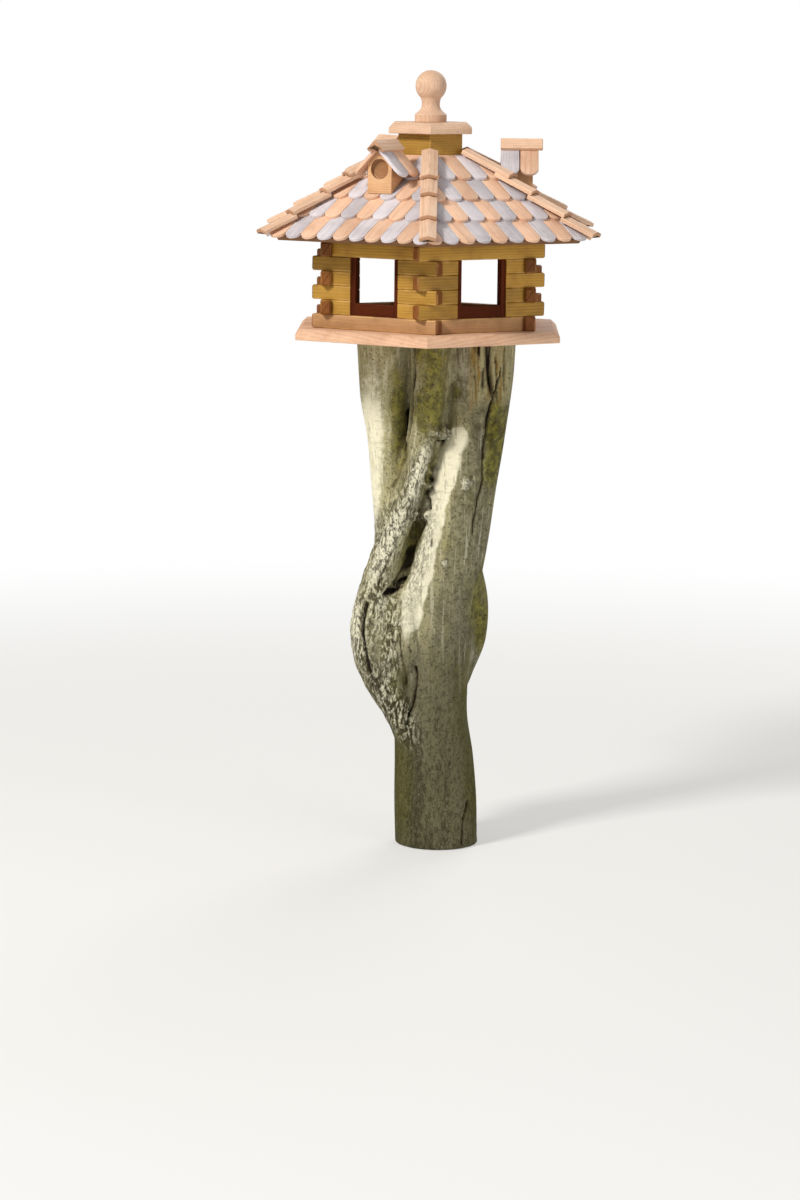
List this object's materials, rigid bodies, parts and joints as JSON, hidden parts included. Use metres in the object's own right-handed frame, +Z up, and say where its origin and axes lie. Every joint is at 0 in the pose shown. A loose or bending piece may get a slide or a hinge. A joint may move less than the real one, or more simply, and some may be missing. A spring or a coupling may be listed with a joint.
{
  "type": "bird feeder",
  "caption": "Hexagonal log-cabin bird feeder with a rounded-shingle roof, small dormers and a turned finial, standing on a forked dead tree trunk.",
  "frame": {"origin": "on the ground, under the middle of the hexagonal feeder", "axes": "+Z up along the trunk and the finial; -Y towards the front corner of the hexagon; +X towards the middle of the right wall"},
  "size_m": [0.5596, 0.6332, 1.3071],
  "materials": {
    "weathered_bark": "weathered",
    "base_board_wood": "matte",
    "log_stain": "satin glaze",
    "dark_mahogany": "satin glaze",
    "roof_panel_wood": "matte",
    "tan_shingle": "matte",
    "grey_shingle": "matte",
    "pale_pine": "matte",
    "dormer_wood": "matte"
  },
  "bodies": {
    "root": {"trunk": "weathered_bark", "base_board": "base_board_wood", "lantern": "log_stain", "cap_plate": "pale_pine", "finial": "pale_pine", "right_wall": "log_stain", "right_roof_panel": "roof_panel_wood", "right_tan_shingles": "tan_shingle", "right_grey_shingles": "grey_shingle", "back_right_wall": "log_stain", "back_right_roof_panel": "roof_panel_wood", "back_right_tan_shingles": "tan_shingle", "back_right_grey_shingles": "grey_shingle", "back_left_wall": "log_stain", "back_left_roof_panel": "roof_panel_wood", "back_left_tan_shingles": "tan_shingle", "back_left_grey_shingles": "grey_shingle", "left_wall": "log_stain", "left_roof_panel": "roof_panel_wood", "left_tan_shingles": "tan_shingle", "left_grey_shingles": "grey_shingle", "front_left_wall": "log_stain", "front_left_roof_panel": "roof_panel_wood", "front_left_tan_shingles": "tan_shingle", "front_left_grey_shingles": "grey_shingle", "front_right_wall": "log_stain", "front_right_roof_panel": "roof_panel_wood", "front_right_tan_shingles": "tan_shingle", "front_right_grey_shingles": "grey_shingle", "right_window_frame": "dark_mahogany", "left_window_frame": "dark_mahogany", "front_left_window_frame": "dark_mahogany", "front_right_window_frame": "dark_mahogany", "right_rear_hip_caps": "pale_pine", "rear_hip_caps": "pale_pine", "left_rear_hip_caps": "pale_pine", "left_front_hip_caps": "pale_pine", "front_hip_caps": "pale_pine", "right_front_hip_caps": "pale_pine", "front_left_dormer": "dormer_wood", "front_left_dormer_ridge_cap": "pale_pine", "right_dormer": "dormer_wood", "right_dormer_ridge_cap": "pale_pine", "back_left_dormer": "dormer_wood", "back_left_dormer_ridge_cap": "pale_pine"}
  },
  "joints": []
}
